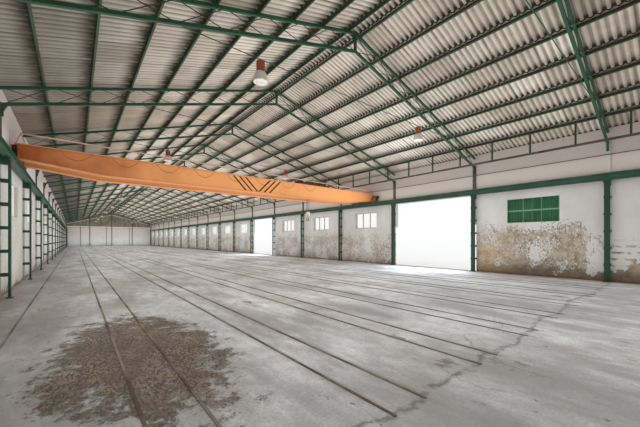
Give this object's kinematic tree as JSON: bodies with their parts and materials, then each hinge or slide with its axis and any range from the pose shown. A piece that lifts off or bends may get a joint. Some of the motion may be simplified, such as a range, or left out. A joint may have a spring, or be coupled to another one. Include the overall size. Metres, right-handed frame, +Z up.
{
  "type": "scale model of a factory building with an overhead crane",
  "caption": "Long gabled factory hall at one tenth: brick walls, trussed green steel frames, corrugated roof, and a travelling crane with trolley and hook.",
  "frame": {"origin": "middle of the floor slab's underside, on the ground", "axes": "+X to the long wall with the doorway, +Y along the hall from the doorway's end to the far gable, +Z up"},
  "size_m": [1.85, 9.574, 0.8875],
  "materials": {
    "concrete": "matt",
    "floor_steel": "worn",
    "plaster": "matt",
    "gable_paint": "matt",
    "cladding": "matt",
    "dark_steel": "satin",
    "window_steel": "satin",
    "glass": "glossy",
    "shutter_paint": "satin",
    "green_steel": "satin",
    "stub_steel": "satin",
    "rail_steel": "worn",
    "fibre_cement": "matt",
    "lamp_paint": "satin",
    "lamp_glass": "glossy",
    "crane_paint": "satin",
    "festoon_steel": "satin",
    "rope_steel": "satin",
    "block_paint": "satin"
  },
  "bodies": {
    "building": {"floor_slab": "concrete", "floor_rails": "floor_steel", "left_wall_lower": "plaster", "left_wall_piers": "plaster", "left_wall_upper": "plaster", "right_wall_lower": "plaster", "right_wall_piers": "plaster", "right_wall_upper": "plaster", "gable_walls": "gable_paint", "gable_cladding": "cladding", "gable_posts": "dark_steel", "gable_bands": "gable_paint", "left_window_frames": "window_steel", "right_window_frames": "window_steel", "left_window_glass": "glass", "right_window_glass": "glass", "window_shutters": "shutter_paint", "left_columns": "green_steel", "right_columns": "green_steel", "column_stubs": "stub_steel", "left_runway_beam": "green_steel", "right_runway_beam": "green_steel", "crane_rails": "rail_steel", "left_rafters": "green_steel", "right_rafters": "green_steel", "king_posts": "green_steel", "tie_rods": "green_steel", "left_purlins": "green_steel", "right_purlins": "green_steel", "left_roof_sheets": "fibre_cement", "right_roof_sheets": "fibre_cement", "ridge_cap": "fibre_cement", "eaves_bar": "green_steel", "eaves_hangers": "green_steel", "wall_conduit": "dark_steel", "lamp_housings": "lamp_paint", "lamp_bells": "lamp_glass"},
    "crane_bridge": {"crane_girders": "crane_paint", "end_trucks": "crane_paint", "crane_wheels": "rail_steel", "festoon_rail": "festoon_steel"},
    "crane_trolley": {"trolley_frame": "dark_steel", "hoist_drum": "dark_steel", "trolley_wheels": "rail_steel"},
    "hook": {"hoist_ropes": "rope_steel", "hook_block": "block_paint", "crane_hook": "dark_steel"}
  },
  "joints": [
    {"name": "bridge_travel", "type": "slide", "parent": "building", "child": "crane_bridge", "axis": [0, 1, 0], "range_m": [-1.55, 7.56]},
    {"name": "trolley_travel", "type": "slide", "parent": "crane_bridge", "child": "crane_trolley", "axis": [1, 0, 0], "range_m": [-1.08, 0.33]},
    {"name": "hoist", "type": "slide", "parent": "crane_trolley", "child": "hook", "axis": [0, 0, 1], "range_m": [-0.24, 0.12], "deforming": ["hoist_ropes"]}
  ]
}
